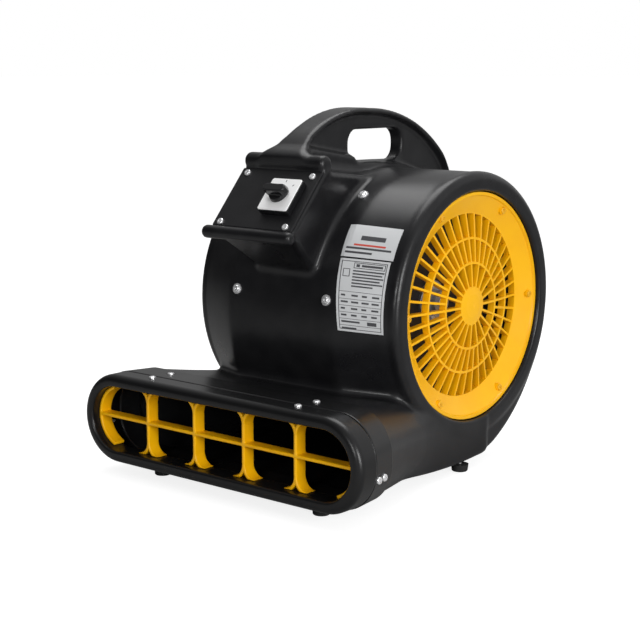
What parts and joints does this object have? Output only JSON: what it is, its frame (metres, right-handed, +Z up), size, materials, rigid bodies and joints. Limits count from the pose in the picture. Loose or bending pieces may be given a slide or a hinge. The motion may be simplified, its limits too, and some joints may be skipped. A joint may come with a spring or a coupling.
{
  "type": "air mover",
  "caption": "Portable snail-shaped carpet dryer with a low wide outlet grille, a carry handle, a round intake guard on each side and a turning blower wheel behind each guard.",
  "frame": {"origin": "on the floor, under the middle of the footprint (the middle of the bounding box's bottom)", "axes": "+Z up, -Y towards the air outlet, +X towards the machine's own left hand side when it blows away from the viewer, which is the side on the right when the outlet faces the viewer; the blower shaft runs along X"},
  "size_m": [0.44, 0.473, 0.4468],
  "materials": {
    "housing_black": "satin rotationally moulded polyethylene, very fine orange-peel",
    "trim_black": "satin moulded plastic, smoother than the housing",
    "yellow_plastic": "semi-gloss injection-moulded plastic",
    "screw_chrome": "bright zinc",
    "screw_yellow": "steel screws with heads painted to match the guard",
    "sheet_steel": "galvanised sheet",
    "wheel_black": "satin black powder coat on sheet steel",
    "cast_alloy": "fine cast, as machined on the bosses",
    "motor_paint": "semi-gloss enamel",
    "core_steel": "stacked laminations",
    "copper_winding": "varnished copper wire",
    "ground_steel": "ground",
    "cushion_rubber": "matte black rubber",
    "panel_black": "fine-textured black plate",
    "switch_black": "satin-gloss phenolic",
    "switch_silver": "silver anodised plate",
    "capacitor_grey": "smooth",
    "terminal_white": "smooth nylon",
    "gland_black": "smooth nylon",
    "label_silver": "metallised polyester sheet with blank printed blocks"
  },
  "bodies": {
    "housing": {"scroll_housing": "housing_black", "outlet_collar": "trim_black", "outlet_ring": "trim_black", "outlet_grille": "yellow_plastic", "intake_guard_right": "yellow_plastic", "intake_guard_left": "yellow_plastic", "collar_screws": "screw_chrome", "outlet_ring_screws": "screw_chrome", "cradle_bolts": "screw_chrome", "cradle_washers": "screw_chrome", "cradle_nuts": "screw_chrome", "panel_screws": "screw_chrome", "foot_screws": "screw_chrome", "guard_screws_right": "screw_yellow", "guard_screws_left": "screw_yellow", "capacitor_strap": "sheet_steel", "inlet_ring_right": "wheel_black", "inlet_ring_left": "wheel_black", "motor_cradle_right": "wheel_black", "motor_cradle_left": "wheel_black", "motor_shell": "motor_paint", "motor_end_bell_right": "motor_paint", "motor_end_bell_left": "motor_paint", "stator_core": "core_steel", "stator_windings": "copper_winding", "shaft_bearing_right": "ground_steel", "shaft_bearing_left": "ground_steel", "motor_cushion_right": "cushion_rubber", "motor_cushion_left": "cushion_rubber", "foot_front_right": "cushion_rubber", "foot_front_left": "cushion_rubber", "foot_rear_right": "cushion_rubber", "foot_rear_left": "cushion_rubber", "control_panel": "panel_black", "switch_block": "switch_black", "switch_body": "switch_black", "switch_plate": "switch_silver", "run_capacitor": "capacitor_grey", "terminal_block": "terminal_white", "cable_gland": "gland_black", "gland_nut": "gland_black", "info_label": "label_silver", "rating_label": "label_silver"},
    "blower_wheels": {"motor_shaft": "ground_steel", "motor_rotor": "core_steel", "wheel_disc_right": "wheel_black", "wheel_disc_left": "wheel_black", "wheel_blades_right": "wheel_black", "wheel_blades_left": "wheel_black", "wheel_hub_right": "cast_alloy", "wheel_hub_left": "cast_alloy", "hub_rivets": "screw_chrome", "hub_set_screws": "ground_steel"},
    "speed_control": {"switch_spindle": "ground_steel", "speed_knob": "switch_black"}
  },
  "joints": [
    {"name": "impeller_spin", "type": "hinge", "parent": "housing", "child": "blower_wheels", "pos_m": [0, 0.0715, 0.207], "axis": [1, 0, 0], "continuous": true},
    {"name": "speed_knob_turn", "type": "hinge", "parent": "housing", "child": "speed_control", "pos_m": [0.027, -0.13782, 0.34475], "axis": [0, -0.7513, 0.66], "range_deg": [-135, 0]}
  ]
}
